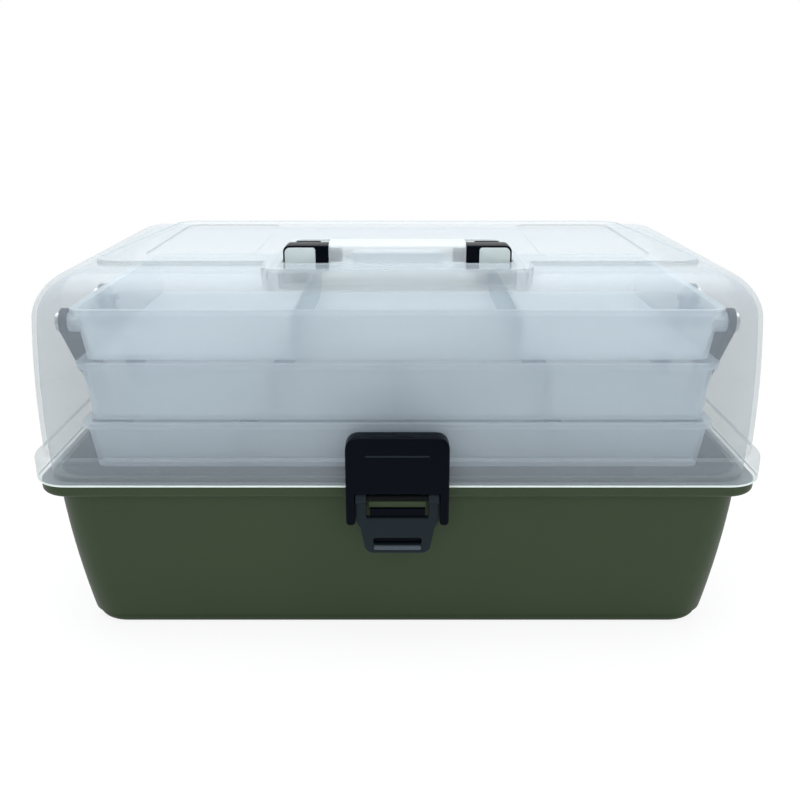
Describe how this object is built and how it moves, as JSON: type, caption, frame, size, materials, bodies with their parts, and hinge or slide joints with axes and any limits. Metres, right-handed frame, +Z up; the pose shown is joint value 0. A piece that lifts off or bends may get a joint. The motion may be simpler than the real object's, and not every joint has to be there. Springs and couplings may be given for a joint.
{
  "type": "cantilever tackle box",
  "caption": "Portable tackle box: clear hinged lid with folding handle and front latch over linked cantilever trays that swing up as it opens.",
  "frame": {"origin": "Under the middle of the box's outline, at the plane of the foot ring it stands on", "axes": "+Z up; +X along the long front towards the box's left-hand end as seen from behind, which is the right-hand end seen from the front; -Y is the front with the latch, +Y the hinge side"},
  "size_m": [0.38, 0.238, 0.21],
  "materials": {
    "olive_plastic": "fine satin moulded polypropylene",
    "clear_plastic": "frosted translucent polypropylene",
    "tray_plastic": "translucent polypropylene",
    "black_gloss": "gloss moulded",
    "dark_grey": "satin moulded",
    "black_plastic": "satin moulded",
    "pin_steel": "plain drawn wire"
  },
  "bodies": {
    "base": {"base_tub": "olive_plastic", "base_pivot_pins": "pin_steel", "hinge_pins": "pin_steel"},
    "lid": {"lid_shell": "clear_plastic", "latch_bracket": "black_gloss", "latch_pin": "pin_steel", "handle_pins": "pin_steel", "link_pins": "pin_steel"},
    "latch": {"latch_lever": "dark_grey"},
    "handle": {"handle_grip": "clear_plastic", "handle_arm_left": "black_gloss", "handle_arm_right": "black_gloss"},
    "front_arms": {"front_arm_left": "black_plastic", "front_arm_right": "black_plastic"},
    "rear_arms": {"rear_arm_left": "black_plastic", "rear_arm_right": "black_plastic"},
    "links": {"lid_link_left": "black_plastic", "lid_link_right": "black_plastic"},
    "tray_lower": {"tray_lower": "tray_plastic", "divider_lower_1": "tray_plastic", "divider_lower_2": "tray_plastic", "divider_lower_3": "tray_plastic", "tray_pins_lower": "pin_steel"},
    "tray_middle": {"tray_middle": "tray_plastic", "divider_middle_1": "tray_plastic", "divider_middle_2": "tray_plastic", "divider_middle_3": "tray_plastic", "tray_pins_middle": "pin_steel", "link_studs": "pin_steel"},
    "tray_upper": {"tray_upper": "tray_plastic", "divider_upper_1": "tray_plastic", "divider_upper_2": "tray_plastic", "tray_pins_upper": "pin_steel"}
  },
  "joints": [
    {"name": "lid_hinge", "type": "hinge", "parent": "base", "child": "lid", "pos_m": [0, 0.114, 0.084], "axis": [-1, 0, 0], "range_deg": [0, 110]},
    {"name": "front_arm_pivot", "type": "hinge", "parent": "base", "child": "front_arms", "pos_m": [0, 0.0064, 0.066], "axis": [-1, 0, 0], "range_deg": [0, 65]},
    {"name": "rear_arm_pivot", "type": "hinge", "parent": "base", "child": "rear_arms", "pos_m": [0, 0.0684, 0.066], "axis": [-1, 0, 0], "range_deg": [0, 65]},
    {"name": "tray_lower_pivot", "type": "hinge", "parent": "front_arms", "child": "tray_lower", "pos_m": [0, -0.02957, 0.1095], "axis": [-1, 0, 0], "range_deg": [-65, 0]},
    {"name": "tray_middle_pivot", "type": "hinge", "parent": "front_arms", "child": "tray_middle", "pos_m": [0, -0.05652, 0.1421], "axis": [-1, 0, 0], "range_deg": [-65, 0]},
    {"name": "tray_upper_pivot", "type": "hinge", "parent": "front_arms", "child": "tray_upper", "pos_m": [0, -0.08, 0.1705], "axis": [-1, 0, 0], "range_deg": [-65, 0]},
    {"name": "lid_link_pivot", "type": "hinge", "parent": "lid", "child": "links", "pos_m": [0, -0.017, 0.158], "axis": [-1, 0, 0], "range_deg": [0, 28.2]},
    {"name": "latch_pivot", "type": "hinge", "parent": "lid", "child": "latch", "pos_m": [0, -0.1155, 0.088], "axis": [-1, 0, 0], "range_deg": [0, 80]},
    {"name": "handle_pivot", "type": "hinge", "parent": "lid", "child": "handle", "pos_m": [0, -0.014, 0.197], "axis": [-1, 0, 0], "range_deg": [0, 90]}
  ],
  "couplings": [
    {"joint": "front_arm_pivot", "follows": "lid_hinge", "ratio": 0.5909},
    {"joint": "rear_arm_pivot", "follows": "lid_hinge", "ratio": 0.5909},
    {"joint": "tray_lower_pivot", "follows": "lid_hinge", "ratio": -0.5909},
    {"joint": "tray_middle_pivot", "follows": "lid_hinge", "ratio": -0.5909},
    {"joint": "tray_upper_pivot", "follows": "lid_hinge", "ratio": -0.5909},
    {"joint": "lid_link_pivot", "follows": "lid_hinge", "ratio": 0.2561}
  ]
}
